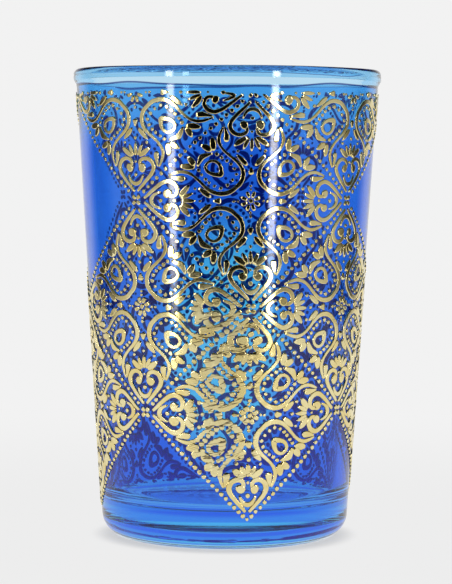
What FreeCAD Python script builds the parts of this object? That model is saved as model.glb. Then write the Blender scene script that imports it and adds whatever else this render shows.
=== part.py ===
import FreeCAD, Part
import math
import os
import Sketcher

from FreeCAD import Vector

# A Moroccan tea glass: one pressed tumbler of cobalt glass, and the raised gilding fired onto
# its wall. The gilding is a net of diamonds whose tiles all carry the same four-fold motif.
#
# Frame: millimetres, +Z up, the origin at the middle of the resting plane. The front is -Y.
# An azimuth of 0 degrees is the front, and it grows to the right as seen from the front.

DOCUMENT = FreeCAD.newDocument("moroccan_tea_glass")

# ------------------------------------------------------------------ driving dimensions

SIZES = [
    # the tumbler
    ("height", 90.0),                # resting plane to rim
    ("mouth_radius", 29.2),          # outer wall, carried on up to the rim plane
    ("foot_radius", 23.5),           # outer wall, carried on down to the resting plane
    ("wall_at_mouth", 2.3),          # glass between the outer wall and the drinking side
    ("wall_at_floor", 2.6),
    ("floor_height", 7.2),           # inside floor above the resting plane
    ("floor_bevel", 2.4),            # eased corner between the inside floor and wall
    ("heel_round", 4.5),             # rounding between the wall and the resting ring
    ("ring_inner_radius", 16.5),     # where the resting ring meets the hollow under the foot
    ("punt_rise", 1.1),              # depth of that hollow
    ("punt_slope", 1.2),             # width of the slope round it
    ("lip_height", 3.5),             # the fire-polished bead at the rim
    ("lip_proud", 0.35),             # how far the bead stands out from the wall
    ("lip_shoulder", 1.4),           # height of the slope that leads out to the bead
    ("rim_bevel", 0.85),             # eased edges of the rim
    # the net of diamonds
    ("heel_margin", 1.6),            # clear wall between the heel and the lowest crossings
    ("lip_margin", 1.5),             # clear wall between the lip and the cut top of the net
    ("net_turn", 9.45),              # azimuth of the front column of crossings, in degrees
    # the raised gold
    ("relief_rise", 0.3),            # height of a crest above the glass
    ("line_width", 0.6),             # the lines of the net
    ("crossing_reach", 0.95),        # centre of a crossing flower to the ends of its petals
    ("arch_width", 0.95),
    ("heart_width", 0.7),
    ("rosette_radius", 2.0),
]

SHEET = DOCUMENT.addObject("Spreadsheet::Sheet", "sizes")
for row, (alias, value) in enumerate(SIZES, start=1):
    SHEET.set("A%d" % row, alias)
    SHEET.set("B%d" % row, str(value))
    SHEET.setAlias("B%d" % row, alias)
DOCUMENT.recompute()


def size(alias):
    return float(SHEET.get(alias))


# ------------------------------------------------------------------ the tumbler

LIP_START = "(sizes.height - sizes.lip_height)"
WALL_AT_LIP = ("(sizes.foot_radius + (sizes.mouth_radius - sizes.foot_radius)"
               " * (sizes.height - sizes.lip_height) / sizes.height)")
LIP_RADIUS = "(sizes.mouth_radius + sizes.lip_proud)"
DRINKING_RADIUS = "(sizes.mouth_radius - sizes.wall_at_mouth)"
FLOOR_RADIUS = ("(sizes.foot_radius + (sizes.mouth_radius - sizes.foot_radius)"
                " * sizes.floor_height / sizes.height - sizes.wall_at_floor)")

# The half section, as corners (radius, height) in order round the glass.
SECTION = [
    ("0", "sizes.punt_rise"),
    ("(sizes.ring_inner_radius - sizes.punt_slope)", "sizes.punt_rise"),
    ("sizes.ring_inner_radius", "0"),
    ("sizes.foot_radius", "0"),
    (WALL_AT_LIP, LIP_START),
    (LIP_RADIUS, LIP_START + " + sizes.lip_shoulder"),
    (LIP_RADIUS, "sizes.height"),
    (DRINKING_RADIUS, "sizes.height"),
    (FLOOR_RADIUS, "sizes.floor_height"),
    ("0", "sizes.floor_height"),
]


def sheet_value(expression):
    """The number that an expression over the sheet stands for, to draw a first sketch with."""
    return float(SHEET.evalExpression(expression.replace("sizes.", "")))


def origin_plane(body, role):
    return next(item for item in body.Origin.OriginFeatures if item.Role == role)


def tie(sketch, kind, line, end, expression):
    """Hold one end of a line at a distance from the origin that the sheet gives."""
    axis = {"DistanceX": -2, "DistanceY": -1}[kind]
    if expression == "0":
        sketch.addConstraint(Sketcher.Constraint("PointOnObject", line, end, axis))
        return
    value = sheet_value(expression)
    index = sketch.addConstraint(Sketcher.Constraint(kind, -1, 1, line, end, value))
    sketch.setExpression("Constraints[%d]" % index, expression)


def draw_section(body):
    sketch = body.newObject("Sketcher::SketchObject", "half_section")
    sketch.AttachmentSupport = (origin_plane(body, "XZ_Plane"), "")
    sketch.MapMode = "FlatFace"
    corners = [Vector(sheet_value(x), sheet_value(y), 0) for x, y in SECTION]
    for start, end in zip(corners, corners[1:] + corners[:1]):
        sketch.addGeometry(Part.LineSegment(start, end))
    for line in range(len(corners)):
        following = (line + 1) % len(corners)
        sketch.addConstraint(Sketcher.Constraint("Coincident", line, 2, following, 1))
    for line, (x, y) in enumerate(SECTION):
        tie(sketch, "DistanceX", line, 1, x)
        tie(sketch, "DistanceY", line, 1, y)
    return sketch


def ring_edge(shape, radius, level):
    """The name of the circular edge of that radius at that height."""
    for index, edge in enumerate(shape.Edges, start=1):
        if edge.Degenerated or not isinstance(edge.Curve, Part.Circle):
            continue
        curve = edge.Curve
        if abs(curve.Radius - radius) < 1e-4 and abs(curve.Center.z - level) < 1e-4:
            return "Edge%d" % index
    raise ValueError("no edge of radius %.3f at height %.3f" % (radius, level))


def ease_rings(body, kind, name, corners, value):
    """Round or bevel the edges that some corners of the section turn into."""
    before = body.Tip
    edges = [ring_edge(before.Shape, sheet_value(x), sheet_value(y)) for x, y in corners]
    feature = body.newObject("PartDesign::" + kind, name)
    feature.Base = (before, edges)
    sized = {"Fillet": "Radius", "Chamfer": "Size"}[kind]
    setattr(feature, sized, sheet_value(value))
    feature.setExpression(sized, value)
    DOCUMENT.recompute()


def make_tumbler():
    body = DOCUMENT.addObject("PartDesign::Body", "glass_tumbler")
    body.Label = "glass_tumbler"
    sketch = draw_section(body)
    turned_glass = body.newObject("PartDesign::Revolution", "turned_glass")
    turned_glass.Profile = sketch
    turned_glass.ReferenceAxis = (sketch, ["V_Axis"])
    turned_glass.Angle = 360
    DOCUMENT.recompute()
    ease_rings(body, "Fillet", "heel", SECTION[3:4], "sizes.heel_round")
    ease_rings(body, "Chamfer", "floor_edge", SECTION[8:9], "sizes.floor_bevel")
    ease_rings(body, "Chamfer", "rim", SECTION[6:8], "sizes.rim_bevel")
    return body


# ------------------------------------------------------------------ the wall that carries the gold

TILES_ROUND = 4                      # diamonds in a full turn
TILE_ROWS = 4                        # rows of diamonds that overlap by halves, from foot to top
HALF_TILE = 180.0 / TILES_ROUND      # half a diamond's width, in degrees

NET_FOOT = size("heel_round") + size("heel_margin")
NET_TOP = size("height") - size("lip_height") - size("lip_margin")
TILE_RISE = (NET_TOP - NET_FOOT) / TILE_ROWS
WALL_LEAN = math.atan2(size("mouth_radius") - size("foot_radius"), size("height"))
RELIEF_RISE = size("relief_rise")


def wall_radius(level):
    share = level / size("height")
    return size("foot_radius") + (size("mouth_radius") - size("foot_radius")) * share


def on_wall(azimuth, level, lift):
    """A point over the outer wall, lifted square off the glass."""
    radius = wall_radius(level) + lift * math.cos(WALL_LEAN)
    turn = math.radians(azimuth)
    return Vector(radius * math.sin(turn), -radius * math.cos(turn),
                  level - lift * math.sin(WALL_LEAN))


class Tile:
    """One diamond of the net. Its corners lie one unit from its middle, along u and along v."""

    def __init__(self, column, row):
        self.azimuth = size("net_turn") + column * HALF_TILE
        self.level = NET_FOOT + row * TILE_RISE
        self.across = wall_radius(self.level) * math.radians(HALF_TILE)    # one unit of u, in mm

    def point(self, uv, lift):
        u, v = uv
        return on_wall(self.azimuth + u * HALF_TILE, self.level + v * TILE_RISE, lift)

    def square_off(self, direction, width):
        """A step of that width, in mm, to the left of a direction given in units of the tile."""
        along_u = direction[0] * self.across
        along_v = direction[1] * TILE_RISE
        length = math.hypot(along_u, along_v)
        return (-along_v / length * width / self.across, along_u / length * width / TILE_RISE)


def turned(uv, quarters):
    """A point of the tile, turned about the tile's middle by quarter turns."""
    u, v = uv
    for _ in range(quarters % 4):
        u, v = -v, u
    return (u, v)


# What a printed tile holds, as the quarters with an arch and a pear, and the corners with a heart.
WHOLE = ((0, 1, 2, 3), (0, 1, 2, 3))
LOWER_HALF = ((0, 1), (0,))
UPPER_HALF = ((2, 3), (2,))

# The printed tiles. The row at the top is cut through its middle. The row below it leaves its two
# side tiles plain, and the row at the foot is printed on the back only.
PRINTED = [(Tile(column, 4), LOWER_HALF) for column in (1, 3, 5, 7)]
PRINTED += [(Tile(column, 3), WHOLE) for column in (0, 4)]
PRINTED += [(Tile(column, 2), WHOLE) for column in (1, 3, 5, 7)]
PRINTED += [(Tile(column, 1), WHOLE) for column in (0, 2, 4, 6)]
PRINTED += [(Tile(column, 0), UPPER_HALF) for column in (3, 5)]


def arch_places():
    """Every arch and pear, as (tile, quarter)."""
    return [(tile, quarter) for tile, (quarters, corners) in PRINTED for quarter in quarters]


def heart_places():
    """Every heart, as (tile, corner)."""
    return [(tile, corner) for tile, (quarters, corners) in PRINTED for corner in corners]


# ------------------------------------------------------------------ pieces of raised gold


def bow(tile, ends):
    """How far the round wall stands out of the widest straight step between pairs of points."""
    widest = max(abs(end[0] - start[0]) for start, end in ends) * HALF_TILE
    return wall_radius(tile.level) * (1 - math.cos(math.radians(widest / 2)))


def roof(sections):
    """A closed solid of plane facets through three-cornered sections, each given as
    (left foot, crest, right foot)."""
    facets = [sections[0], tuple(reversed(sections[-1]))]
    for near, far in zip(sections, sections[1:]):
        for side in range(3):
            after = (side + 1) % 3
            facets.append((near[side], far[side], near[after]))
            facets.append((far[side], far[after], near[after]))
    faces = [Part.Face(Part.makePolygon(list(corners) + [corners[0]])) for corners in facets]
    solid = Part.Solid(Part.Shell(faces))
    if solid.Volume < 0:
        solid.reverse()
    return solid


def stroke(tile, path, widths):
    """A roof-shaped stroke of gold along an open path."""
    feet = []
    for index, uv in enumerate(path):
        before = path[max(index - 1, 0)]
        after = path[min(index + 1, len(path) - 1)]
        direction = (after[0] - before[0], after[1] - before[1])
        aside = tile.square_off(direction, widths[index] / 2)
        feet.append(((uv[0] + aside[0], uv[1] + aside[1]), (uv[0] - aside[0], uv[1] - aside[1])))
    steps = [(start[0], end[1]) for start, end in zip(feet, feet[1:])]
    steps += [(start[1], end[0]) for start, end in zip(feet, feet[1:])]
    seat = bow(tile, steps)
    return roof([(tile.point(left, seat), tile.point(uv, RELIEF_RISE), tile.point(right, seat))
                 for uv, (left, right) in zip(path, feet)])


def boss(tile, centre, outline):
    """A low peak of gold over a closed outline."""
    seat = bow(tile, [(centre, uv) for uv in outline])
    peak = tile.point(centre, RELIEF_RISE)
    underside = tile.point(centre, seat)
    rim = [tile.point(uv, seat) for uv in outline]
    faces = []
    for start, end in zip(rim, rim[1:] + rim[:1]):
        faces.append(Part.Face(Part.makePolygon([start, end, peak, start])))
        faces.append(Part.Face(Part.makePolygon([end, start, underside, end])))
    return Part.Solid(Part.Shell(faces))


def arc(centre, radius, start, end, steps):
    """Points along an arc in units of the tile, between two directions in degrees."""
    points = []
    for step in range(steps + 1):
        turn = math.radians(start + (end - start) * step / steps)
        points.append((centre[0] + radius * math.cos(turn), centre[1] + radius * math.sin(turn)))
    return points


def mirrored(path, flip):
    """A path that ends on its line of symmetry, followed by its own mirror image."""
    return path + [flip(uv) for uv in reversed(path[:-1])]


def tapering(steps, full, slight):
    """Widths that swell from the ends of a stroke to its middle."""
    return [slight + (full - slight) * math.sin(math.pi * step / steps) for step in range(steps + 1)]


def gold_part(name, pieces):
    """One node of the gilding, which holds every like piece of it."""
    gold = DOCUMENT.addObject("Part::Feature", name)
    gold.Label = name
    gold.Shape = Part.makeCompound(pieces)
    return gold


LINE_STEPS = 5                       # straight runs that carry a line of the net round the wall


def make_net():
    """The lines of the net, each from one crossing to the next."""
    gap = size("crossing_reach") / TILE_RISE
    lines = []
    for row in range(TILE_ROWS):
        for column in range(row % 2, 2 * TILES_ROUND, 2):
            lower = Tile(column, row)
            for lean in (-1, 1):
                shares = [gap + (1 - 2 * gap) * step / LINE_STEPS for step in range(LINE_STEPS + 1)]
                path = [(lean * share, share) for share in shares]
                lines.append(stroke(lower, path, [size("line_width")] * len(path)))
    return gold_part("gold_net_lines", lines)


def make_crossings():
    """A flower of four petals on each crossing of the net, but for its lowest row."""
    reach = size("crossing_reach") * 0.8
    flowers = []
    for row in range(1, TILE_ROWS + 1):
        for column in range(row % 2, 2 * TILES_ROUND, 2):
            tile = Tile(column, row)
            outline = []
            for corner in range(8):
                radius = reach if corner % 2 else reach * 0.45
                turn = math.radians(corner * 45)
                outline.append((radius * math.cos(turn) / tile.across,
                                radius * math.sin(turn) / TILE_RISE))
            flowers.append(boss(tile, (0, 0), outline))
    return gold_part("gold_crossing_flowers", flowers)


def make_arches():
    """The S-curved arch round each pear, symmetric about the tile's diagonal."""
    loop = arc((-0.24, -0.24), 0.165, 45, -35, 2)
    tail = arc((-0.14, -0.58), 0.13, 140, 235, 1)
    half = list(reversed(tail)) + list(reversed(loop))
    path = mirrored(half, lambda uv: (uv[1], uv[0]))
    widths = tapering(len(path) - 1, size("arch_width"), 0.3 * size("arch_width"))
    arches = [stroke(tile, [turned(uv, quarter) for uv in path], widths)
              for tile, quarter in arch_places()]
    return gold_part("gold_arches", arches)


def make_hearts():
    """A heart with curled-in shoulders in each corner of a tile."""
    curl = arc((0.110, -0.660), 0.080, 205, -5, 3)
    half = curl + [(0.0, -0.925)]
    path = mirrored(half, lambda uv: (-uv[0], uv[1]))
    widths = [size("heart_width")] * len(path)
    hearts = [stroke(tile, [turned(uv, corner) for uv in path], widths)
              for tile, corner in heart_places()]
    return gold_part("gold_hearts", hearts)


def make_pears():
    """The drop of gold inside each arch, with its narrow end towards the tile's middle."""
    middle = (-0.297, -0.297)
    blunt = arc(middle, 0.075, 120, 330, 4)
    outline = blunt + [(middle[0] + 0.07, middle[1] + 0.07)]
    pears = [boss(tile, turned(middle, quarter), [turned(uv, quarter) for uv in outline])
             for tile, quarter in arch_places()]
    return gold_part("gold_pears", pears)


def make_rosettes():
    """The rosette of eight petals in the middle of a tile."""
    rosettes = []
    for tile, held in PRINTED:
        if held != WHOLE:
            continue
        outline = []
        for corner in range(16):
            radius = size("rosette_radius") * (1.0 if corner % 2 else 0.55)
            turn = math.radians(corner * 22.5)
            outline.append((radius * math.cos(turn) / tile.across,
                            radius * math.sin(turn) / TILE_RISE))
        rosettes.append(boss(tile, (0, 0), outline))
    return gold_part("gold_rosettes", rosettes)


tumbler = make_tumbler()
SUB_PARTS = [
    tumbler,
    make_net(),
    make_crossings(),
    make_arches(),
    make_hearts(),
    make_pears(),
    make_rosettes(),
]
DOCUMENT.recompute()

# ------------------------------------------------------------------ checks and export

for item in DOCUMENT.Objects:
    if "Invalid" in item.State or "Error" in item.State:
        raise RuntimeError("%s did not compute: %s" % (item.Label, item.State))

os.makedirs("parts", exist_ok=True)
for part in SUB_PARTS:
    if part.Shape.isNull() or not part.Shape.isValid():
        raise RuntimeError("%s has no valid shape" % part.Label)
    part.Shape.exportStep("parts/%s.step" % part.Label)
    print("%-24s %4d solids %10.2f mm3" % (part.Label, len(part.Shape.Solids), part.Shape.Volume))
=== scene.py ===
import math

import bpy
import numpy as np
from mathutils import Matrix, Vector


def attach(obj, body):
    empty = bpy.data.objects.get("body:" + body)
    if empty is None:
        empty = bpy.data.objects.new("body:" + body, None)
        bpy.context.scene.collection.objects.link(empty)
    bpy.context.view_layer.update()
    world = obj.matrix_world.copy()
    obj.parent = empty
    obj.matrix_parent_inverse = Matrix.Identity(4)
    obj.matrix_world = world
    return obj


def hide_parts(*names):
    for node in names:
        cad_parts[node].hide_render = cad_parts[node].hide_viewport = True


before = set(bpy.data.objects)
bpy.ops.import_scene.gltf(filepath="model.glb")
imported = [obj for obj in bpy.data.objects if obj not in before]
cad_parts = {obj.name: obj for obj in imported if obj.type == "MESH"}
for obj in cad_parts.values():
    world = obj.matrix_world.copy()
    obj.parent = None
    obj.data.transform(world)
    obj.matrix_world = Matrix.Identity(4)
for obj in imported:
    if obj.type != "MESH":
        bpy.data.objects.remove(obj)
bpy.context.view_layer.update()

# A Moroccan tea glass in blue-stained glass, with raised gilding fired onto its wall.
# Frame: metres, +Z up, the origin at the middle of the resting plane, the front is -Y.
# Lengths below are in millimetres, as in part.py, and are turned into metres where meshes are made.

MM = 0.001
rng = np.random.RandomState(20)

# ------------------------------------------------------------------ sizes shared with part.py

HEIGHT = 90.0
MOUTH_RADIUS = 29.2
FOOT_RADIUS = 23.5
WALL_AT_MOUTH = 2.3
WALL_AT_FLOOR = 2.6
FLOOR_HEIGHT = 7.2
FLOOR_CORNER = 4.0
HEEL_ROUND = 4.5
RING_INNER_RADIUS = 16.5
PUNT_RISE = 1.1
PUNT_SLOPE = 1.2
LIP_HEIGHT = 3.5
LIP_PROUD = 0.35
LIP_SHOULDER = 1.4
NET_TURN = 9.45                      # azimuth of the front column of crossings, in degrees
NET_FOOT = 6.1
NET_TOP = 85.0
HALF_TILE = 45.0
TILE_RISE = (NET_TOP - NET_FOOT) / 4
LEAN = math.atan2(MOUTH_RADIUS - FOOT_RADIUS, HEIGHT)
RIM_OUTER_ROUND = 1.15
RIM_INNER_ROUND = 1.30
RELIEF = 0.24                        # height of a broad stroke of gold
SEAT = 0.03                          # how far the gilding is fused into the glass


def wall_radius(level):
    return FOOT_RADIUS + (MOUTH_RADIUS - FOOT_RADIUS) * level / HEIGHT


def wrap(azimuth, level, lift):
    """Points over the outer wall, in metres, lifted square off the glass."""
    radius = wall_radius(level) + lift * math.cos(LEAN)
    turn = np.radians(azimuth)
    return MM * np.stack([radius * np.sin(turn), -radius * np.cos(turn),
                          level - lift * math.sin(LEAN)], axis=-1)


# ------------------------------------------------------------------ materials


class Nodes:
    """Short names for the nodes of one material or world."""

    def __init__(self, owner):
        owner.use_nodes = True
        self.tree = owner.node_tree
        self.tree.nodes.clear()

    def add(self, kind, inputs=(), **settings):
        made = self.tree.nodes.new(kind)
        for name, value in settings.items():
            setattr(made, name, value)
        for name, value in dict(inputs).items():
            self.put(made.inputs[name], value)
        return made

    def put(self, socket, value):
        if isinstance(value, bpy.types.NodeSocket):
            self.tree.links.new(value, socket)
        else:
            socket.default_value = value

    def math(self, operation, *values):
        made = self.add("ShaderNodeMath", operation=operation)
        for index, value in enumerate(values):
            self.put(made.inputs[index], value)
        return made.outputs[0]

    def step(self, value, low, high, before=0.0, after=1.0):
        """A smooth change from one number to another as value goes from low to high."""
        made = self.add("ShaderNodeMapRange", {"Value": value, "From Min": low, "From Max": high,
                                               "To Min": before, "To Max": after},
                        interpolation_type="SMOOTHSTEP")
        return made.outputs[0]

    def mix(self, share, first, second, blend="MIX"):
        made = self.add("ShaderNodeMix", data_type="RGBA", blend_type=blend)
        self.put(made.inputs[0], share)
        self.put(made.inputs[6], first)
        self.put(made.inputs[7], second)
        return made.outputs[2]

    def noise(self, vector, scale, detail=3.0, roughness=0.5):
        made = self.add("ShaderNodeTexNoise", {"Vector": vector, "Scale": scale,
                                               "Detail": detail, "Roughness": roughness})
        return made.outputs["Fac"]

    def place(self):
        """Where a point is on the object: its position, azimuth in degrees, and height."""
        where = self.add("ShaderNodeTexCoord").outputs["Object"]
        split = self.add("ShaderNodeSeparateXYZ", {"Vector": where})
        back = self.math("MULTIPLY", split.outputs["Y"], -1.0)
        turn = self.math("ARCTAN2", split.outputs["X"], back)
        return where, self.math("DEGREES", turn), split.outputs["Z"]

    def radius(self, where):
        """How far a point is from the axis."""
        flat = self.add("ShaderNodeVectorMath", {0: where, 1: (1, 1, 0)}, operation="MULTIPLY")
        return self.add("ShaderNodeVectorMath", {0: flat.outputs[0]},
                        operation="LENGTH").outputs["Value"]

    def patch(self, across, wide, height, middle, tall):
        """0 at the middle of an oval patch of the wall, and 1 on its edge."""
        aside = self.math("DIVIDE", across, wide)
        above = self.math("DIVIDE", self.math("ABSOLUTE", self.math("SUBTRACT", height, middle)), tall)
        return self.math("ADD", self.math("POWER", aside, 2.0), self.math("POWER", above, 2.0))

    def grey(self, value):
        """A colour with the same value in its three channels."""
        return self.add("ShaderNodeCombineXYZ", {"X": value, "Y": value, "Z": value}).outputs[0]

    def bumps(self, height, distance, strength=1.0, normal=None):
        inputs = {"Height": height, "Distance": distance, "Strength": strength}
        if normal is not None:
            inputs["Normal"] = normal
        return self.add("ShaderNodeBump", inputs).outputs["Normal"]


def colour(red, green, blue):
    """A colour written as it is seen on a screen, 0 to 255."""
    def linear(c):
        c = c / 255
        return c / 12.92 if c <= 0.04045 else ((c + 0.055) / 1.055) ** 2.4
    return (linear(red), linear(green), linear(blue), 1.0)


# The stain ends in a wavy line under the lip, as (waves round the glass, height in mm, phase).
STAIN_WAVES = ((2, 0.18, 0.4), (3, 0.22, 2.1), (5, 0.16, 0.9), (9, 0.10, 4.0), (14, 0.06, 1.7))
STAIN_TOP = 86.65
# A thin dark line runs along that end. Its lower and upper edges, and where the stain stops, each
# fade over a span given in mm from STAIN_TOP.
LINE_FROM = (-0.36, -0.20)
LINE_TO = (0.04, 0.18)
STAIN_END = (-0.02, 0.16)

# Tones of the stain, as the red, green and blue left after passing two layers of it. Heights and
# radii from here to BODY_DENSITY are in metres.
STAIN = (0.018, 0.145, 0.83, 1)
STAIN_PALER = (0.028, 0.200, 0.90, 1)
STAIN_EDGEWISE = (0.012, 0.08, 0.60, 1)
STAIN_LINE = (0.001, 0.012, 0.14, 1)
STAIN_UNDER_FOOT = (0.060, 0.24, 0.92, 1)
LIP = (0.34, 0.69, 1.0, 1)
CLEAR = (1, 1, 1, 1)

# Bands of other tones up the wall, as (heights it changes between, shares there, tone), in order.
# The second, deeper low down, is painted shade of the shadowed table seen through the wall, and
# the three lowest are painted light and shade: the pale and dark lines that the foot shows.
STAIN_AND_PAINTED_LIGHT_BANDS = ((0.074, 0.084, 0.0, 1.0, (0.070, 0.40, 0.96, 1)),
               (0.016, 0.034, 0.85, 0.0, (0.004, 0.115, 0.88, 1)),
               (0.0062, 0.0072, 1.0, 0.0, (0.080, 0.50, 0.95, 1)),
               (0.0036, 0.0046, 1.0, 0.0, (0.045, 0.17, 0.93, 1)),
               (0.0017, 0.0021, 1.0, 0.0, (0.20, 0.62, 0.98, 1)))

# Oval patches: one darker, high on the front, which is painted shade, the dark room in front
# reflected and the back print's shadow; and one paler, low on the front and behind it. Azimuths
# and half widths are in degrees.
PAINTED_DARK = (0.008, 0.075, 0.58, 1)
PAINTED_DARK_AZIMUTH = 3.0
PAINTED_DARK_WIDE = 26.0
PAINTED_DARK_MIDDLE = 0.064
PAINTED_DARK_TALL = 0.016
PALER_PATCH = (0.12, 0.78, 1.0, 1)
PALER_PATCH_AZIMUTH = -1.0
PALER_PATCH_WIDE = 32.0
PALER_PATCH_MIDDLES = (0.039, 0.032)        # on the front and at the back
PALER_PATCH_TALL = 0.026
PALER_PATCH_SHARES = (0.9, 0.33)            # on the front and at the back
PALER_PATCH_FRAYED = 0.9                    # how far the stain's clouds move the edge of the paler patch
FRONT_TO_BACK = (80.0, 100.0)        # between these azimuths the front's numbers turn to the back's

# How the patches fade, as parts of the way to their edge and the shares there, and the same for the
# stain seen edgewise, by how far the wall turns away.
PAINTED_DARK_FADE = (0.3, 1.2, 0.85, 0.0)
PALER_PATCH_FADE = (0.2, 1.1, 1.0, 0.0)
EDGEWISE_FADE = (0.45, 1.0, 0.0, 0.6)

# The stain under the foot: it lies below this height, and ends between these radii.
FOOT_STAIN_BELOW = 0.0014
FOOT_STAIN_EDGE = (0.0196, 0.0204, 1.0, 0.0)

# The glass itself is a very light blue, as the colour and density of its absorption.
BODY_TINT = (0.08, 0.80, 0.985, 1)
BODY_DENSITY = 22.0


def make_glass(name):
    """Pressed glass, all but clear. A transparent blue stain covers the outside of its wall and the
    underside of its foot. The low curve of the heel between them is clear, and the lip is pale."""
    material = bpy.data.materials.new(name)
    n = Nodes(material)
    where, azimuth, height = n.place()
    swirl = n.noise(where, 55.0, 2.0)
    ripple = n.noise(n.add("ShaderNodeMapping", {"Vector": where, "Scale": (1, 1, 0.25)}).outputs[0],
                     160.0, 1.0)
    normal = n.bumps(swirl, 0.00006, 0.3, n.bumps(ripple, 0.00004, 0.2))
    shader = n.add("ShaderNodeBsdfPrincipled", {
        "Base Color": CLEAR, "Roughness": 0.0, "IOR": 1.5,
        "Transmission Weight": 1.0, "Normal": normal})

    cloud = n.noise(where, 90.0, 3.0)
    tone = n.mix(n.step(cloud, 0.3, 0.7), STAIN, STAIN_PALER)
    for low, high, before, after, band in STAIN_AND_PAINTED_LIGHT_BANDS:
        tone = n.mix(n.step(height, low, high, before, after), tone, band)
    # The darker patch high on the front is painted shade: the dark room in front reflected and the
    # back print's shadow.
    across = n.math("ABSOLUTE", n.math("SUBTRACT", azimuth, PAINTED_DARK_AZIMUTH))
    painted_dark = n.patch(across, PAINTED_DARK_WIDE, height, PAINTED_DARK_MIDDLE, PAINTED_DARK_TALL)
    tone = n.mix(n.step(painted_dark, *PAINTED_DARK_FADE), tone, PAINTED_DARK)
    front = n.math("ABSOLUTE", n.math("SUBTRACT", azimuth, PALER_PATCH_AZIMUTH))
    across = n.math("MINIMUM", front, n.math("SUBTRACT", 180.0, front))
    paler_patch = n.patch(across, PALER_PATCH_WIDE, height, n.step(front, *FRONT_TO_BACK, *PALER_PATCH_MIDDLES), PALER_PATCH_TALL)
    paler_patch = n.math("ADD", paler_patch, n.math("MULTIPLY", n.math("SUBTRACT", cloud, 0.5), PALER_PATCH_FRAYED))
    paler_patch = n.math("MULTIPLY", n.step(paler_patch, *PALER_PATCH_FADE),
                  n.step(front, *FRONT_TO_BACK, *PALER_PATCH_SHARES))
    tone = n.mix(paler_patch, tone, PALER_PATCH)
    facing = n.add("ShaderNodeLayerWeight", {"Blend": 0.35}).outputs["Facing"]
    tone = n.mix(n.step(facing, *EDGEWISE_FADE), tone, STAIN_EDGEWISE)

    edge = height
    turn = n.math("RADIANS", azimuth)
    for waves, reach, phase in STAIN_WAVES:
        wave = n.math("SINE", n.math("MULTIPLY_ADD", turn, float(waves), phase))
        edge = n.math("MULTIPLY_ADD", wave, reach * MM, edge)
    starts, ends, beyond = (n.step(edge, (STAIN_TOP + low) * MM, (STAIN_TOP + high) * MM)
                            for low, high in (LINE_FROM, LINE_TO, STAIN_END))
    tone = n.mix(n.math("MULTIPLY", starts, n.math("SUBTRACT", 1.0, ends)), tone, STAIN_LINE)

    radius = n.radius(where)
    middle = n.math("MULTIPLY_ADD", height, math.tan(LEAN), (FOOT_RADIUS - WALL_AT_MOUTH / 2) * MM)
    outside = n.math("GREATER_THAN", radius, middle)
    foot = n.math("MULTIPLY", n.math("LESS_THAN", height, FOOT_STAIN_BELOW),
                  n.step(radius, *FOOT_STAIN_EDGE))
    tone = n.mix(foot, tone, STAIN_UNDER_FOOT)
    tone = n.mix(beyond, tone, LIP)
    tone = n.mix(n.math("MAXIMUM", outside, foot), CLEAR, tone)
    n.put(shader.inputs["Base Color"], tone)
    volume = n.add("ShaderNodeVolumeAbsorption", {"Color": BODY_TINT, "Density": BODY_DENSITY})
    n.add("ShaderNodeOutputMaterial", {"Surface": shader.outputs[0], "Volume": volume.outputs[0]})
    return material


# Where the front of the print was rubbed, for its scratches: spans over which they come and go,
# in degrees of azimuth and in metres of height.
SCRATCHED_SIDES = ((-17.0, -11.0), (10.0, 16.0))
SCRATCHED_HEIGHTS = ((0.012, 0.017), (0.046, 0.051))

GOLD_TONES = (colour(236, 216, 146), colour(246, 233, 178))
GOLD_FLECKS = colour(206, 172, 98)
GOLD_SCRATCH = colour(70, 52, 34)
GOLD_ROUGHNESS = (0.11, 0.19)
SMOOTHER_ABOVE = (0.040, 0.056, 0.0, -0.05)      # heights in metres, and the change of roughness
SCRATCHED_ROUGHER = 0.12
PASTE_TONES = (colour(10, 50, 184), colour(24, 72, 212))
# Lighter low down is painted light, from the table below.
PASTE_PAINTED_LIGHT = colour(16, 82, 250)
PASTE_PAINTED_LIGHT_FADE = (0.022, 0.036, 1.0, 0.0)         # heights in metres, and the shares there
PASTE_ROUGHNESS = (0.55, 0.8)


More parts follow.
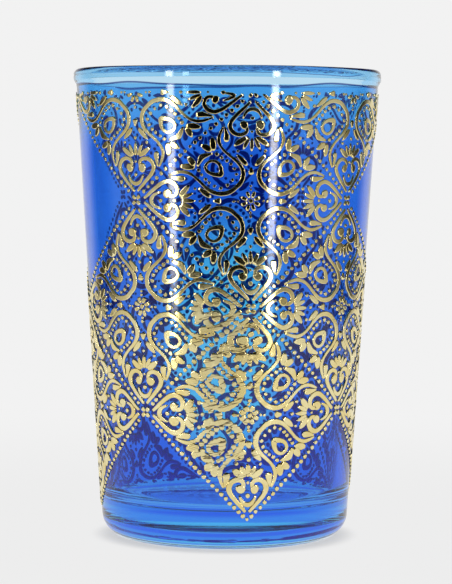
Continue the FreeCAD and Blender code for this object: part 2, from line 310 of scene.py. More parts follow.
def make_gold(name):
    """Bright fired gold, a little uneven, with hair scratches where the front was rubbed."""
    material = bpy.data.materials.new(name)
    n = Nodes(material)
    where, azimuth, height = n.place()
    broad = n.noise(where, 260.0, 3.0)
    fine = n.noise(where, 2600.0, 4.0, 0.65)
    tone = n.mix(n.step(broad, 0.35, 0.65), *GOLD_TONES)
    tone = n.mix(n.step(fine, 0.62, 0.8), tone, GOLD_FLECKS)
    rubbed = n.math("MULTIPLY", n.step(azimuth, *SCRATCHED_SIDES[0]),
                    n.step(azimuth, *SCRATCHED_SIDES[1], 1.0, 0.0))
    rubbed = n.math("MULTIPLY", rubbed, n.step(height, *SCRATCHED_HEIGHTS[0]))
    rubbed = n.math("MULTIPLY", rubbed, n.step(height, *SCRATCHED_HEIGHTS[1], 1.0, 0.0))
    along = n.math("MULTIPLY_ADD", azimuth, -0.00010, height)
    streaks = n.add("ShaderNodeCombineXYZ", {"X": n.math("MULTIPLY", azimuth, 0.05),
                                             "Y": n.math("MULTIPLY", along, 620.0), "Z": 3.0})
    ridge = n.math("ABSOLUTE", n.math("SUBTRACT", n.noise(streaks.outputs[0], 1.0, 2.0, 0.6), 0.5))
    scratch = n.math("MULTIPLY", n.step(ridge, 0.006, 0.018, 1.0, 0.0), rubbed)
    tone = n.mix(n.math("MULTIPLY", scratch, 0.85), tone, GOLD_SCRATCH)
    grain = n.noise(where, 1400.0, 3.0, 0.6)
    normal = n.bumps(grain, 0.00004, 0.2, n.bumps(broad, 0.0001, 0.18))
    rough = n.step(broad, 0.3, 0.7, *GOLD_ROUGHNESS)
    rough = n.math("ADD", rough, n.step(height, *SMOOTHER_ABOVE))
    rough = n.math("MULTIPLY_ADD", rubbed, SCRATCHED_ROUGHER, rough)
    shader = n.add("ShaderNodeBsdfPrincipled", {"Base Color": tone, "Metallic": 1.0,
                                                "Roughness": rough, "Normal": normal})
    n.add("ShaderNodeOutputMaterial", {"Surface": shader.outputs[0]})
    return material


def make_underside(name):
    """The underside of the gold. It is seen through the glass and its stain, dull and blue, and
    lighter low down to match the photograph, which is painted light from the table below."""
    material = bpy.data.materials.new(name)
    n = Nodes(material)
    where, _, height = n.place()
    grain = n.noise(where, 900.0, 3.0)
    tone = n.mix(grain, *PASTE_TONES)
    # Lighter low down: painted light from the table below.
    tone = n.mix(n.step(height, *PASTE_PAINTED_LIGHT_FADE), tone, PASTE_PAINTED_LIGHT)
    shader = n.add("ShaderNodeBsdfPrincipled", {
        "Base Color": tone, "Roughness": n.step(grain, 0.2, 0.8, *PASTE_ROUGHNESS)})
    n.add("ShaderNodeOutputMaterial", {"Surface": shader.outputs[0]})
    return material


GLASS = make_glass("stained_glass")
GOLD = make_gold("fired_gold")
PASTE = make_underside("gold_paste")

# ------------------------------------------------------------------ meshes


def make_object(name, points, faces, slots, materials):
    mesh = bpy.data.meshes.new(name)
    mesh.from_pydata([tuple(p) for p in points], [], faces)
    for material in materials:
        mesh.materials.append(material)
    mesh.polygons.foreach_set("material_index", np.asarray(slots, np.int32))
    mesh.polygons.foreach_set("use_smooth", np.ones(len(faces), bool))
    mesh.update()
    made = bpy.data.objects.new(name, mesh)
    bpy.context.scene.collection.objects.link(made)
    return made


def bend(centre, radius, start, end, steps):
    """Points (radius, height) along an arc of the glass's section, directions in degrees."""
    turns = np.radians(np.linspace(start, end, steps + 1))
    return [(centre[0] + radius * math.cos(t), centre[1] + radius * math.sin(t)) for t in turns]


def section():
    """The half section of the glass from the axis, under the foot, up the outside and down the
    inside, as points (radius, height) in mm, and the name of the stretch that each is on."""
    slope = math.tan(LEAN)
    lean = math.degrees(LEAN)
    heel_middle = FOOT_RADIUS + slope * HEEL_ROUND - HEEL_ROUND / math.cos(LEAN)
    under = [(r, PUNT_RISE) for r in np.linspace(0, RING_INNER_RADIUS - PUNT_SLOPE - 0.4, 7)]
    under += [(RING_INNER_RADIUS - 0.75 * PUNT_SLOPE, 0.78 * PUNT_RISE),
              (RING_INNER_RADIUS - 0.35 * PUNT_SLOPE, 0.30 * PUNT_RISE),
              (RING_INNER_RADIUS + 0.1, 0.06), (RING_INNER_RADIUS + 0.7, 0.0)]
    under += [(heel_middle - 0.6, 0.0)]
    heel = bend((heel_middle, HEEL_ROUND), HEEL_ROUND, -90, -lean, 14)
    lip = HEIGHT - LIP_HEIGHT
    wall = [(wall_radius(z), z) for z in np.linspace(HEEL_ROUND + 0.6, lip - 0.5, 26)]
    bead = MOUTH_RADIUS + LIP_PROUD
    drinking = MOUTH_RADIUS - WALL_AT_MOUTH
    swell = []
    for share in np.linspace(0, 1, 7):
        rise = share * share * (3 - 2 * share)
        swell.append((wall_radius(lip) + (bead - wall_radius(lip)) * rise, lip + LIP_SHOULDER * share))
    rim = bend((bead - RIM_OUTER_ROUND, HEIGHT - RIM_OUTER_ROUND), RIM_OUTER_ROUND, 0, 90, 9)
    rim += bend((drinking + RIM_INNER_ROUND, HEIGHT - RIM_INNER_ROUND), RIM_INNER_ROUND, 90, 180, 9)
    floor_radius = wall_radius(FLOOR_HEIGHT) - WALL_AT_FLOOR
    tilt = math.degrees(math.atan2(drinking - floor_radius, HEIGHT - FLOOR_HEIGHT))
    inner_slope = math.tan(math.radians(tilt))
    corner_middle = (floor_radius + inner_slope * FLOOR_CORNER
                     - FLOOR_CORNER / math.cos(math.radians(tilt)), FLOOR_HEIGHT + FLOOR_CORNER)
    inside = []
    for z in np.linspace(HEIGHT - RIM_INNER_ROUND - 1.0, FLOOR_HEIGHT + FLOOR_CORNER + 0.5, 26):
        inside.append((floor_radius + inner_slope * (z - FLOOR_HEIGHT), z))
    inside += bend(corner_middle, FLOOR_CORNER, -tilt, -90, 12)
    for r in np.linspace(corner_middle[0] - 1.0, 0, 9):
        inside.append((r, FLOOR_HEIGHT - 0.12 * (1 - (r / corner_middle[0]) ** 2)))
    outside = heel + wall + swell
    points = under + outside + rim + inside
    names = (["under"] * len(under) + ["outside"] * len(outside) + ["rim"] * len(rim)
             + ["inside"] * len(inside))
    return points, names


def make_tumbler():
    """The pressed glass, turned about its axis, with a faintly uneven inside and rim."""
    profile, names = section()
    around = 288
    turns = np.linspace(0, 2 * math.pi, around, endpoint=False)
    points = []
    rings = []
    for (radius, level), name in zip(profile, names):
        if radius < 1e-9:
            rings.append([len(points)])
            points.append((0.0, 0.0, level * MM))
            continue
        rings.append(list(range(len(points), len(points) + around)))
        for turn in turns:
            r, z = radius, level
            if name == "inside" and level > FLOOR_HEIGHT + 0.5:
                r += (0.030 * math.sin(2 * turn + 0.09 * level + 0.6)
                      + 0.014 * math.sin(5 * turn - 0.21 * level)
                      + 0.010 * math.sin(11 * turn + 0.33 * level + 2.0))
            if name in ("rim", "inside") and level > HEIGHT - 2.6:
                z += (0.05 * math.sin(2 * turn + 1.0) + 0.03 * math.sin(5 * turn)
                      - 0.08) * min(1.0, (level - HEIGHT + 2.6) / 2.0)
            points.append((MM * r * math.sin(turn), -MM * r * math.cos(turn), MM * z))
    faces = []
    for low, high in zip(rings, rings[1:]):
        for step in range(around):
            after = (step + 1) % around
            if len(low) == 1:
                faces.append((low[0], high[after], high[step]))
            elif len(high) == 1:
                faces.append((low[step], low[after], high[0]))
            else:
                faces.append((low[step], low[after], high[after], high[step]))
    return make_object("tumbler", points, faces, [0] * len(faces), [GLASS])


# ------------------------------------------------------------------ the net and its tiles

# How far some crossings of the hand-laid print stand off the even net, in degrees of azimuth.
SHIFTS = {(3, 7): -1.3, (3, 1): -0.5, (2, 0): 0.5, (1, 7): -0.3, (1, 1): 1.8, (0, 0): 0.5}


class Tile:
    """One diamond of the net. Its corners lie one unit from its middle, along u and along v."""

    def __init__(self, column, row, half=0):
        self.azimuth = NET_TURN + column * HALF_TILE
        self.level = NET_FOOT + row * TILE_RISE
        self.half = half                 # -1 where only its lower half is printed, 1 its upper half
        self.scale = np.array([wall_radius(self.level) * math.radians(HALF_TILE), TILE_RISE])
        corners = ((row - 1, column), (row, column + 1), (row, column - 1), (row + 1, column))
        self.shifts = [SHIFTS.get((r, c % 8), 0.0) for r, c in corners]

    def lay(self, points, lift):
        """Put points of the tile's plane, in mm from its middle, onto the wall."""
        u, v = (points / self.scale).T
        a, b = (u + v + 1) / 2, (v - u + 1) / 2
        south, east, west, north = self.shifts
        shift = south * (1 - a) * (1 - b) + east * a * (1 - b) + west * (1 - a) * b + north * a * b
        return wrap(self.azimuth + u * HALF_TILE + shift, self.level + v * TILE_RISE, lift)


PRINTED = [Tile(column, 4, half=-1) for column in (1, 3, 5, 7)]
PRINTED += [Tile(column, 3) for column in (0, 4)]
PRINTED += [Tile(column, 2) for column in (1, 3, 5, 7)]
PRINTED += [Tile(column, 1) for column in (0, 2, 4, 6)]
PRINTED += [Tile(column, 0, half=1) for column in (3, 5)]


# The worn part of the print: its middle and half width in degrees, its heights in mm, and how far
# inside these the wear is complete.
WORN_AZIMUTH = -1.0
WORN_REACH = 14.5
WORN_FROM = 13.0
WORN_TO = 48.0
WORN_SIDE_FADE = 4.0
WORN_END_FADE = 5.0

# How broad the print is, as shares of what is drawn, at heights in mm.
BOLDNESS_HEIGHTS = (18.0, 42.0, 72.0)
BOLDNESS = (1.14, 1.04, 0.88)


def rubbed(points):
    """How strongly the print is worn and spread at points on the wall, 0 to 1."""
    azimuth = np.degrees(np.arctan2(points[:, 0], -points[:, 1]))
    height = points[:, 2] / MM
    share = np.clip((WORN_REACH - np.abs(azimuth - WORN_AZIMUTH)) / WORN_SIDE_FADE, 0, 1)
    share = share * np.clip((height - WORN_FROM) / WORN_END_FADE, 0, 1)
    return share * np.clip((WORN_TO - height) / WORN_END_FADE, 0, 1)


def boldness(points):
    """How broad the print is at points on the wall. It was laid on more thickly lower down."""
    return np.interp(points[:, 2] / MM, BOLDNESS_HEIGHTS, BOLDNESS)


def wander(along, reach):
    """A smooth seeded wander along a stroke."""
    total = np.zeros_like(along)
    for wavelength in (0.75, 1.3, 2.6):
        total += np.sin(2 * math.pi * along / wavelength + rng.uniform(0, 2 * math.pi))
    return total * reach / 3


def smooth_path(path, closed, spacing):
    """A Catmull-Rom curve through the points, at even spacing, as (points, lengths along)."""
    path = np.asarray(path, float)
    if closed:
        ends = np.vstack([path[-1:], path, path[:2]])
    else:
        ends = np.vstack([2 * path[:1] - path[1:2], path, 2 * path[-1:] - path[-2:-1]])
    dense = []
    for p0, p1, p2, p3 in zip(ends, ends[1:], ends[2:], ends[3:]):
        t = np.linspace(0, 1, 12, endpoint=False)[:, None]
        dense.append(0.5 * (2 * p1 + (p2 - p0) * t + (2 * p0 - 5 * p1 + 4 * p2 - p3) * t ** 2
                            + (3 * p1 - p0 - 3 * p2 + p3) * t ** 3))
    knots = len(ends) - 3
    dense = np.vstack(dense + [ends[-2:-1]])
    lengths = np.concatenate([[0], np.cumsum(np.linalg.norm(np.diff(dense, axis=0), axis=1))])
    steps = max(6, int(round(lengths[-1] / spacing)))
    along = np.linspace(0, lengths[-1], steps + 1)
    share = np.interp(along, lengths, np.linspace(0, knots, len(lengths)))
    points = np.stack([np.interp(along, lengths, dense[:, axis]) for axis in (0, 1)], axis=1)
    return points, along, share


# The section of a stroke: a flat top between rounded edges, as shares of its half width and height.
ACROSS = np.array([-1.0, -0.93, -0.80, -0.66, 0.66, 0.80, 0.93, 1.0])
RISE = np.array([0.0, 0.62, 1.0, 1.0, 1.0, 1.0, 0.62, 0.0])

# The section of a bead from its edge inwards, as shares of its radius and height.
DOT_SECTION = ((1.0, 0.0), (0.93, 0.74), (0.80, 1.0), (0.70, 1.0))

# How irregular a stroke is, in mm, and what full wear adds, as shares.
EDGE_ROUGHNESS = 0.035
WEAR_ROUGHER = 3.5
WEAR_BROADER = 0.24
WEAR_LOWER = 0.35
WEAR_WANDER = 0.22                   # in mm
THINNEST = 0.04                      # the least half width along a stroke
TIP = 0.03                           # the half width at its ends
THIN_BELOW = 0.30                    # a stroke with a half width below this is lower

# How irregular a bead is: its stray in mm, and its radius and lobes as shares.
DOT_STRAY = 0.05
DOT_SMALLER = 0.12
DOT_LARGER = 0.14
WEAR_DOT_LARGER = 0.30
DOT_LOBES = (0.07, 0.04)


class Gilding:
    """Gathers the closed pieces of raised gold that make up one object."""

    def __init__(self):
        self.points = []
        self.faces = []
        self.slots = []

    def take(self, points, faces, slots):
        base = sum(len(p) for p in self.points)
        self.points.append(points)
        self.faces += [tuple(base + i for i in face) for face in faces]
        self.slots += slots

    def stroke(self, tile, path, widths, closed=False, spacing=0.24):
        """A flat-topped stroke of gold along a path in mm, with widths in mm at its points."""
        points, along, share = smooth_path(path, closed, spacing)
        widths = np.asarray(widths, float)
        if closed:
            widths = np.append(widths, widths[0])
        half = np.interp(share, np.arange(len(widths)), widths) / 2
        if closed:
            points, along, half = points[:-1], along[:-1], half[:-1]
            ahead, behind = np.roll(points, -1, axis=0), np.roll(points, 1, axis=0)
        else:
            total = along[-1]
            for end in (along, total - along):
                reach = np.maximum(half, 1e-6)
                short = np.clip(1 - end / reach, 0, 1)
                half = half * np.sqrt(np.maximum(1 - short ** 2, 0.0))
            ahead = np.vstack([points[1:], points[-1:]])
            behind = np.vstack([points[:1], points[:-1]])
        direction = ahead - behind
        direction /= np.linalg.norm(direction, axis=1)[:, None]
        aside = np.stack([-direction[:, 1], direction[:, 0]], axis=1)
        on_wall = tile.lay(points, 0.0)
        wear = rubbed(on_wall)
        points = points + aside * (wander(along, WEAR_WANDER) * wear)[:, None]
        half = half * boldness(on_wall) * (1 + WEAR_BROADER * wear)
        rough = EDGE_ROUGHNESS * (1 + WEAR_ROUGHER * wear)
        left = np.maximum(half + wander(along, 1.0) * rough, THINNEST)
        right = np.maximum(half + wander(along, 1.0) * rough, THINNEST)
        if not closed:
            left[[0, -1]] = right[[0, -1]] = TIP
        crest = RELIEF * np.minimum(1.0, (half / THIN_BELOW) ** 0.6 + 0.12) * (1 - WEAR_LOWER * wear)
        rows = []
        for across, rise in zip(ACROSS, RISE):
            reach = np.where(across < 0, left, right) * across
            spot = points + aside * reach[:, None]
            rows.append(tile.lay(spot, -SEAT + rise * (crest + SEAT)))
        grid = np.stack(rows, axis=1)
        count, wide = grid.shape[:2]
        faces = []
        slots = []
        stretch = count if closed else count - 1
        for i in range(stretch):
            j = (i + 1) % count
            for k in range(wide - 1):
                faces.append((i * wide + k, i * wide + k + 1, j * wide + k + 1, j * wide + k))
                slots.append(0)
            faces.append((i * wide + wide - 1, i * wide, j * wide, j * wide + wide - 1))
            slots.append(1)
        if not closed:
            faces.append(tuple(range(wide - 1, -1, -1)))
            faces.append(tuple((count - 1) * wide + k for k in range(wide)))
            slots += [0, 0]
        self.take(grid.reshape(-1, 3), faces, slots)

    def dot(self, tile, centre, radius, sides=10):
        """A flat-topped bead of gold at a point of the tile's plane, in mm."""
        centre = np.asarray(centre, float)
        on_wall = tile.lay(centre[None], 0.0)
        wear = float(rubbed(on_wall)[0])
        centre = centre + rng.uniform(-DOT_STRAY, DOT_STRAY, 2) * (1 + 2 * wear)
        radius = radius * (1 + rng.uniform(-DOT_SMALLER, DOT_LARGER) + WEAR_DOT_LARGER * wear)
        radius = radius * float(boldness(on_wall)[0]) ** 0.5
        turn = np.linspace(0, 2 * math.pi, sides, endpoint=False) + rng.uniform(0, 1)
        ring = np.stack([np.cos(turn), np.sin(turn)], axis=1)
        lobes = (1 + DOT_LOBES[0] * np.sin(2 * turn + rng.uniform(0, 6))
                 + DOT_LOBES[1] * np.sin(3 * turn))
        crest = min(RELIEF, 0.75 * radius)
        rows = []
        for share, rise in DOT_SECTION:
            spot = centre + ring * (radius * share * lobes)[:, None]
            rows.append(tile.lay(spot, -SEAT + rise * (crest + SEAT)))
        top = tile.lay(centre[None], crest)
        points = np.vstack(rows + [top])
        faces = []
        slots = []
        for low in range(len(DOT_SECTION) - 1):
            for k in range(sides):
                m = (k + 1) % sides
                faces.append((low * sides + k, low * sides + m,
                              (low + 1) * sides + m, (low + 1) * sides + k))
        inner = (len(DOT_SECTION) - 1) * sides
        for k in range(sides):
            faces.append((inner + k, inner + (k + 1) % sides, inner + sides))
        slots += [0] * len(faces)
        faces.append(tuple(range(sides - 1, -1, -1)))
        slots.append(1)
        self.take(points, faces, slots)

    def build(self, name, *stands_for):
        made = make_object(name, np.vstack(self.points), self.faces, self.slots, [GOLD, PASTE])
        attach(made, "root")
        if stands_for:
            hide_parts(*stands_for)
        return made


# ------------------------------------------------------------------ the motif of a tile

# Every element is drawn once, in units of the tile, in its lower left quarter or its lower corner.

ARCH = [(-0.125, -0.125), (-0.160, -0.092), (-0.210, -0.070), (-0.270, -0.067), (-0.325, -0.087),
        (-0.375, -0.128), (-0.420, -0.178), (-0.468, -0.226), (-0.517, -0.256), (-0.572, -0.267),
        (-0.630, -0.254), (-0.694, -0.229)]
ARCH_WIDTHS = [0.90, 1.00, 1.02, 0.96, 0.86, 0.72, 0.62, 0.60, 0.70, 0.78, 0.64, 0.28]
COMMA = [(-0.690, -0.221), (-0.640, -0.211), (-0.588, -0.204), (-0.540, -0.208)]
COMMA_WIDTHS = [0.24, 0.76, 1.28, 1.14]
ARC_DOTS = [(-0.431, -0.281), (-0.403, -0.241), (-0.374, -0.200), (-0.344, -0.167),
            (-0.302, -0.136), (-0.246, -0.121), (-0.195, -0.150)]
ARC_DOT = 0.37                       # radii of beads are in mm, and so are widths of strokes
PEAR_MIDDLE = (-0.297, -0.300)
PEAR = [(-0.078, 0.000), (-0.062, 0.042), (-0.020, 0.058), (0.026, 0.045), (0.058, 0.020),
        (0.074, 0.000), (0.058, -0.020), (0.026, -0.045), (-0.020, -0.058), (-0.062, -0.042)]
PEAR_WIDTHS = [0.64, 0.66, 0.72, 0.86, 1.05, 1.20, 1.05, 0.86, 0.72, 0.66]
LEAF = [0.26, 0.66, 0.92, 1.00, 0.93, 0.66, 0.16]
FAN_LEAVES = [([(-0.458, -0.308), (-0.522, -0.313), (-0.590, -0.322)], 1.44),
              ([(-0.460, -0.318), (-0.486, -0.360), (-0.520, -0.416)], 1.40)]
CHEVRON = [(-0.440, -0.312), (-0.424, -0.360), (-0.403, -0.403), (-0.360, -0.424),
           (-0.312, -0.440)]
CHEVRON_WIDTHS = [0.38, 0.92, 1.40, 0.92, 0.38]
HEART = [(0.060, -0.690), (0.044, -0.673), (0.042, -0.647), (0.062, -0.621), (0.105, -0.611),
         (0.150, -0.630), (0.176, -0.672), (0.177, -0.712), (0.153, -0.760), (0.100, -0.825),
         (0.045, -0.885), (0.014, -0.924)]
HEART_WIDTHS = [0.80, 0.80, 0.78, 0.84, 0.90, 0.98, 1.00, 0.98, 0.90, 0.80, 0.68, 0.50]
HEART_CURL = (0.066, -0.700)
HEART_CURL_RADIUS = 0.88
HEART_DOTS = [((0.0, -0.763), 0.42, 12), ((0.0, -0.640), 0.28, 10)]
BAND = [(-0.078, -0.755), (-0.066, -0.794), (-0.040, -0.833), (0.0, -0.849), (0.040, -0.833),
        (0.066, -0.794), (0.078, -0.755)]
BAND_WIDTHS = [0.34, 0.54, 0.78, 0.95, 0.78, 0.54, 0.34]
MIDDLE_PETAL = [(0.0, -0.588), (0.0, -0.525), (0.0, -0.456)]
MIDDLE_PETAL_BROAD = 0.90
PETALS = [([(0.018, -0.588), (0.045, -0.533), (0.070, -0.474)], 0.88),
          ([(0.032, -0.592), (0.086, -0.556), (0.148, -0.506)], 1.28)]
FLEUR = [(0.030, -0.326), (0.070, -0.374), (0.124, -0.436)]
FLEUR_BROAD = 1.16
SHIELD = [(0.0, -0.240), (0.0, -0.262), (0.0, -0.318)]
SHIELD_WIDTHS = [1.55, 1.45, 0.25]
FAN_DOTS = [((0.0, -0.420), 0.32), ((0.114, -0.462), 0.32), ((-0.114, -0.462), 0.32),
            ((0.0, -0.142), 0.30), ((0.0, -0.108), 0.26)]

# A rosette and the flower on a crossing have straight petals, as distances in mm from the middle.
ROSETTE_PETAL = (0.55, 1.25, 1.95)
ROSETTE_WIDTHS = [0.45, 0.82, 0.70]
ROSETTE_MIDDLE = 0.42
CROSSING_PETAL = (0.16, 0.70, 1.25)
CROSSING_WIDTHS = [0.50, 0.90, 0.62]
LOWEST_BEAD = 0.36                   # the bead on each lowest corner of the net,
LOWEST_BEAD_RISE = 0.25              # and how far above the corner it is

# Beads along a side of a tile, none nearer to its ends than the last two numbers.
NET_BEAD = 0.40
BEADS_ON_SIDE = 24
SIDE_LENGTH = 28.2
CLEAR_OF_FLOWER = 1.3
CLEAR_OF_LOWEST = 1.0

# Where a tile is cut to half: in units of the tile, an element whose middle is further than the
# first beyond the cut is left out, one that crosses it by more than the second is pressed back.
CUT_OUT = 0.012
CUT_OVER = 0.006
CUT_CLEAR = 0.05
CUT_PRESS = 0.35


def quarter_turn(points, quarters):
    points = np.asarray(points, float)
    for _ in range(quarters % 4):
        points = np.stack([-points[:, 1], points[:, 0]], axis=1)
    return points


def swap(points):
    """Mirror in the diagonal of the quarter."""
    return [(v, u) for u, v in points]


def flip(points):
    """Mirror in the upright axis of the corner."""
    return [(-u, v) for u, v in points]


class Placed:
    """Draws elements of the motif on one tile, turned by quarters, and cut where the tile is."""

    def __init__(self, gilding, tile, quarter):
        self.gilding = gilding
        self.tile = tile
        self.quarter = quarter

    def fit(self, points):
        """The points in mm on this tile, or None where its cut leaves them out. What lies across
        the cut is pressed into the half that is printed."""
        turned = quarter_turn(points, self.quarter)
        if self.tile.half:
            inward = turned[:, 1] * self.tile.half
            if inward.mean() < -CUT_OUT:
                return None
            if inward.min() < -CUT_OVER:
                back = CUT_CLEAR + (inward - CUT_CLEAR) * CUT_PRESS
                pressed = np.where(inward < CUT_CLEAR, back, inward)
                turned[:, 1] = pressed * self.tile.half
        return turned * self.tile.scale

    def stroke(self, path, widths, **how):
        fitted = self.fit(path)
        if fitted is not None:
            self.gilding.stroke(self.tile, fitted, widths, **how)

    def leaf(self, path, broad):
        """An almond of gold along a path of three points, narrow at its foot and pointed."""
        start, middle, tip = (np.asarray(point, float) for point in path)
        along = np.linspace(0, 1, 7)[:, None]
        bent = (start * (1 - along) * (1 - 2 * along) + 4 * middle * along * (1 - along)
                + tip * along * (2 * along - 1))
        self.stroke(bent, [share * broad for share in LEAF])

    def dot(self, centre, radius, **how):
        fitted = self.fit([centre])
        if fitted is not None:
            self.gilding.dot(self.tile, fitted[0], radius, **how)


def places(gilding):
    for tile in PRINTED:
        for quarter in range(4):
            yield Placed(gilding, tile, quarter)


def make_arches():
    gilding = Gilding()
    path = list(reversed(swap(ARCH))) + ARCH[1:]
    widths = list(reversed(ARCH_WIDTHS)) + ARCH_WIDTHS[1:]
    for place in places(gilding):
        place.stroke(path, widths)
        for leaf in (COMMA, swap(COMMA)):
            place.stroke(leaf, COMMA_WIDTHS)
    return gilding.build("gold_arches_raised", "gold_arches")


def make_pears():
    gilding = Gilding()
    ring = [(PEAR_MIDDLE[0] + (p - q) / math.sqrt(2), PEAR_MIDDLE[1] + (p + q) / math.sqrt(2))
            for p, q in PEAR]
    for place in places(gilding):
        place.stroke(ring, PEAR_WIDTHS, closed=True)
        for centre in ARC_DOTS:
            place.dot(centre, ARC_DOT)
            place.dot((centre[1], centre[0]), ARC_DOT)
    return gilding.build("gold_pears_raised", "gold_pears")


def make_fans():
    gilding = Gilding()
    for place in places(gilding):
        for path, broad in FAN_LEAVES:
            place.leaf(path, broad)
            place.leaf(swap(path), broad)
        place.stroke(CHEVRON, CHEVRON_WIDTHS)
        place.leaf(MIDDLE_PETAL, MIDDLE_PETAL_BROAD)
        for path, broad in PETALS:
            place.leaf(path, broad)
            place.leaf(flip(path), broad)
        place.leaf(FLEUR, FLEUR_BROAD)
        place.leaf(flip(FLEUR), FLEUR_BROAD)
        place.stroke(SHIELD, SHIELD_WIDTHS)
        for centre, radius in FAN_DOTS:
            place.dot(centre, radius)
    return gilding.build("gold_leaves_raised")


def make_hearts():
    gilding = Gilding()
    for place in places(gilding):
        for mirror in (list, flip):
            place.stroke(mirror(HEART), HEART_WIDTHS)
            place.dot(mirror([HEART_CURL])[0], HEART_CURL_RADIUS, sides=14)
        place.stroke(BAND, BAND_WIDTHS)
        for centre, radius, sides in HEART_DOTS:
            place.dot(centre, radius, sides=sides)
    return gilding.build("gold_hearts_raised", "gold_hearts")


def make_rosettes():
    gilding = Gilding()
    for tile in PRINTED:
        for petal in range(8):
            turn = math.radians(22.5 + 45 * petal)
            if math.sin(turn) * tile.half < 0:
                continue
            way = np.array([math.cos(turn), math.sin(turn)])
            path = [way * distance for distance in ROSETTE_PETAL]
            gilding.stroke(tile, path, ROSETTE_WIDTHS, spacing=0.2)
        if not tile.half:
            gilding.dot(tile, (0.0, 0.0), ROSETTE_MIDDLE, sides=12)
    return gilding.build("gold_rosettes_raised", "gold_rosettes")


def make_crossings():
    gilding = Gilding()
    foot = np.array([0.0, -TILE_RISE])
    for row in range(5):
        for column in range(row % 2, 8, 2):
            upper = Tile(column, row + 1)
            if row == 0:
                gilding.dot(upper, foot + (0.0, LOWEST_BEAD_RISE), LOWEST_BEAD)
                continue
            for way in ((-1, 1), (1, 1), (1, -1), (-1, -1)):
                if row == 4 and way[1] > 0:
                    continue
                step = np.array(way) / math.sqrt(2)
                path = [foot + step * distance for distance in CROSSING_PETAL]
                gilding.stroke(upper, path, CROSSING_WIDTHS, spacing=0.15)
    return gilding.build("gold_crossings_raised", "gold_crossing_flowers")


def make_beads():
    gilding = Gilding()
    for row in range(4):
        nearest = CLEAR_OF_FLOWER if row else CLEAR_OF_LOWEST
        for column in range(row % 2, 8, 2):
            tile = Tile(column, row + 1)
            for side in (-1, 1):
                for bead in range(1, BEADS_ON_SIDE):
                    share = bead / BEADS_ON_SIDE
                    along = share * SIDE_LENGTH
                    if along < nearest or (1 - share) * SIDE_LENGTH < CLEAR_OF_FLOWER:
                        continue
                    centre = np.array([side * share, share - 1.0]) * tile.scale
                    gilding.dot(tile, centre, NET_BEAD)
    return gilding.build("gold_beads_raised", "gold_net_lines")


# ------------------------------------------------------------------ floor, world and camera


# The background's white, in linear light: it shows as 242 of 255.
WHITE = (0.887, 0.887, 0.887, 1)

# Corners of the table in metres. It ends a little way in front of the glass.
TABLE = [(-0.10, -0.25, 0), (0.10, -0.25, 0), (0.30, -0.05, 0), (0.30, 0.60, 0),
         (-0.30, 0.60, 0), (-0.30, -0.05, 0)]
TABLE_TONES = ((0.835, 0.835, 0.85, 1), (0.865, 0.865, 0.88, 1))
# How much of the background's even white the table shows: distances from the glass's middle in m
# between which it changes, and the shares there. The rest is lit, and carries the shadow.
TABLE_WHITE = (0.05, 0.22, 0.95, 1.0)
CONTACT = (0.021, 0.0265, 1.0, 0.0)  # the glass's own contact shadow, in the same form,
CONTACT_SHARE = 0.32                 # and how much white it takes away


def make_floor():
    """A pale table under the glass. It ends a little way in front, where the darker room
    begins to show in reflections."""
    material = bpy.data.materials.new("pale_table")
    n = Nodes(material)
    where = n.add("ShaderNodeTexCoord").outputs["Object"]
    away = n.add("ShaderNodeVectorMath", {0: where}, operation="LENGTH").outputs["Value"]
    grain = n.noise(where, 40.0, 3.0)
    tone = n.mix(grain, *TABLE_TONES)
    lit = n.add("ShaderNodeBsdfPrincipled", {"Base Color": tone, "Roughness": 0.6,
                                             "Specular IOR Level": 0.2})
    path = n.add("ShaderNodeLightPath")
    backdrop = n.add("ShaderNodeEmission", {"Color": WHITE, "Strength": 1.0})
    contact = n.math("MULTIPLY", path.outputs["Is Camera Ray"], n.step(away, *CONTACT))
    share = n.math("MULTIPLY_ADD", contact, -CONTACT_SHARE, n.step(away, *TABLE_WHITE))
    pale = n.add("ShaderNodeMixShader", {0: share, 1: lit.outputs[0], 2: backdrop.outputs[0]})
    seen = n.math("MAXIMUM", path.outputs["Is Camera Ray"], path.outputs["Is Transmission Ray"])
    seen = n.math("MAXIMUM", seen, path.outputs["Is Glossy Ray"])
    surface = n.add("ShaderNodeMixShader", {0: seen, 1: lit.outputs[0], 2: pale.outputs[0]})
    material.cycles.emission_sampling = "NONE"
    n.add("ShaderNodeOutputMaterial", {"Surface": surface.outputs[0]})
    floor = make_object("table", TABLE, [tuple(range(len(TABLE)))], [0], [material])


# The room in reflections, by angles in degrees. Bearings are from the front to either side.
# Each strip light: bearings from STRIP_MIDDLE over which it comes and goes, and heights over which
# it ends above, and weakens below to STRIP_LOW.
STRIP_MIDDLE = -3.5
STRIP_STARTS = (35.8, 38.8)
STRIP_STOPS = (41.2, 44.2)
STRIP_TOP = (8.0, 20.0)
STRIP_FOOT = (-10.2, -8.6)
STRIP_LOW = 0.40
STRIP_LIGHT = 14.0
# The dark place in front, what the room's sides add to it by bearing, and its dark ceiling.
FRONT_LIGHT = 0.003
SIDES_START = (27.0, 36.0, FRONT_LIGHT, 0.25)
SIDES = ((46.0, 60.0, 0.25), (94.0, 112.0, -0.45), (126.0, 146.0, 0.80))
CEILING = (2.0, 22.0, 1.0, 0.03)
# What shows through the glass: the white background, and darker towards the front, above.
THROUGH_BEARINGS = (30.0, 120.0)
THROUGH_CLIMB = (-30.0, 0.0)
THROUGH_DARK = 0.50


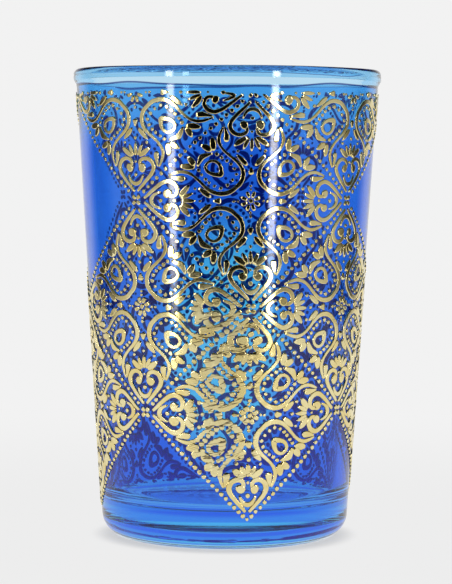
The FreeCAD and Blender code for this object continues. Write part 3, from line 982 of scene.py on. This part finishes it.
def make_world():
    """Even white light. Reflections also show the room: two upright strip lights and the dark
    side where the photographer stands."""
    world = bpy.data.worlds.new("studio")
    bpy.context.scene.world = world
    n = Nodes(world)
    way = n.add("ShaderNodeTexCoord").outputs["Generated"]
    split = n.add("ShaderNodeSeparateXYZ", {"Vector": way})
    back = n.math("MULTIPLY", split.outputs["Y"], -1.0)
    bearing = n.math("DEGREES", n.math("ARCTAN2", split.outputs["X"], back))
    turn = n.math("ABSOLUTE", bearing)
    climb = n.math("DEGREES", n.math("ARCSINE", split.outputs["Z"]))
    aside = n.math("ABSOLUTE", n.math("SUBTRACT", bearing, STRIP_MIDDLE))
    strip = n.math("MULTIPLY", n.step(aside, *STRIP_STARTS), n.step(aside, *STRIP_STOPS, 1.0, 0.0))
    strip = n.math("MULTIPLY", strip, n.step(climb, *STRIP_TOP, 1.0, 0.0))
    strip = n.math("MULTIPLY", strip, n.step(climb, *STRIP_FOOT, STRIP_LOW, 1.0))
    side = n.step(turn, *SIDES_START)
    for low, high, change in SIDES:
        side = n.math("ADD", side, n.step(turn, low, high, 0.0, change))
    side = n.math("MULTIPLY", side, n.step(climb, *CEILING))
    shine = n.grey(n.math("MULTIPLY_ADD", strip, STRIP_LIGHT, side))
    ahead = n.step(climb, *THROUGH_CLIMB, WHITE[0], THROUGH_DARK)
    through = n.grey(n.step(turn, *THROUGH_BEARINGS, ahead, WHITE[0]))
    path = n.add("ShaderNodeLightPath")
    light = n.mix(path.outputs["Is Camera Ray"], shine, WHITE)
    light = n.mix(path.outputs["Is Transmission Ray"], light, through)
    background = n.add("ShaderNodeBackground", {"Color": light, "Strength": 1.0})
    n.add("ShaderNodeOutputWorld", {"Surface": background.outputs[0]})


# The camera fitted to the photograph: place in metres, angles in degrees, focal length in pixels.
CAMERA_PLACE = (0.0, -0.480, 0.0766)
CAMERA_PITCH = 3.53
CAMERA_ROLL = 0.37
CAMERA_FOCAL = 2484.8
PICTURE_HEIGHT = 584.0
SENSOR_HEIGHT = 24.0


def make_camera():
    """The photograph's view, from a little below the rim, rolled by a third of a degree."""
    data = bpy.data.cameras.new("camera")
    data.sensor_fit = "VERTICAL"
    data.sensor_height = SENSOR_HEIGHT
    data.lens = SENSOR_HEIGHT * CAMERA_FOCAL / PICTURE_HEIGHT
    data.clip_start = 0.01
    data.clip_end = 20.0
    camera = bpy.data.objects.new("camera", data)
    bpy.context.scene.collection.objects.link(camera)
    pitch, roll = math.radians(CAMERA_PITCH), math.radians(CAMERA_ROLL)
    ahead = Vector((0.0, math.cos(pitch), -math.sin(pitch)))
    level = Vector((1.0, 0.0, 0.0))
    up = Vector((0.0, math.sin(pitch), math.cos(pitch)))
    right = math.cos(roll) * level + math.sin(roll) * up
    over = -math.sin(roll) * level + math.cos(roll) * up
    turned = Matrix((right, over, -ahead)).transposed().to_4x4()
    camera.matrix_world = Matrix.Translation(CAMERA_PLACE) @ turned
    bpy.context.scene.camera = camera


make_camera()
make_world()
make_floor()

tumbler = make_tumbler()
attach(tumbler, "root")
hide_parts("glass_tumbler")

make_beads()
make_crossings()
make_arches()
make_hearts()
make_pears()
make_fans()
make_rosettes()

bpy.context.scene.view_settings.view_transform = "Standard"
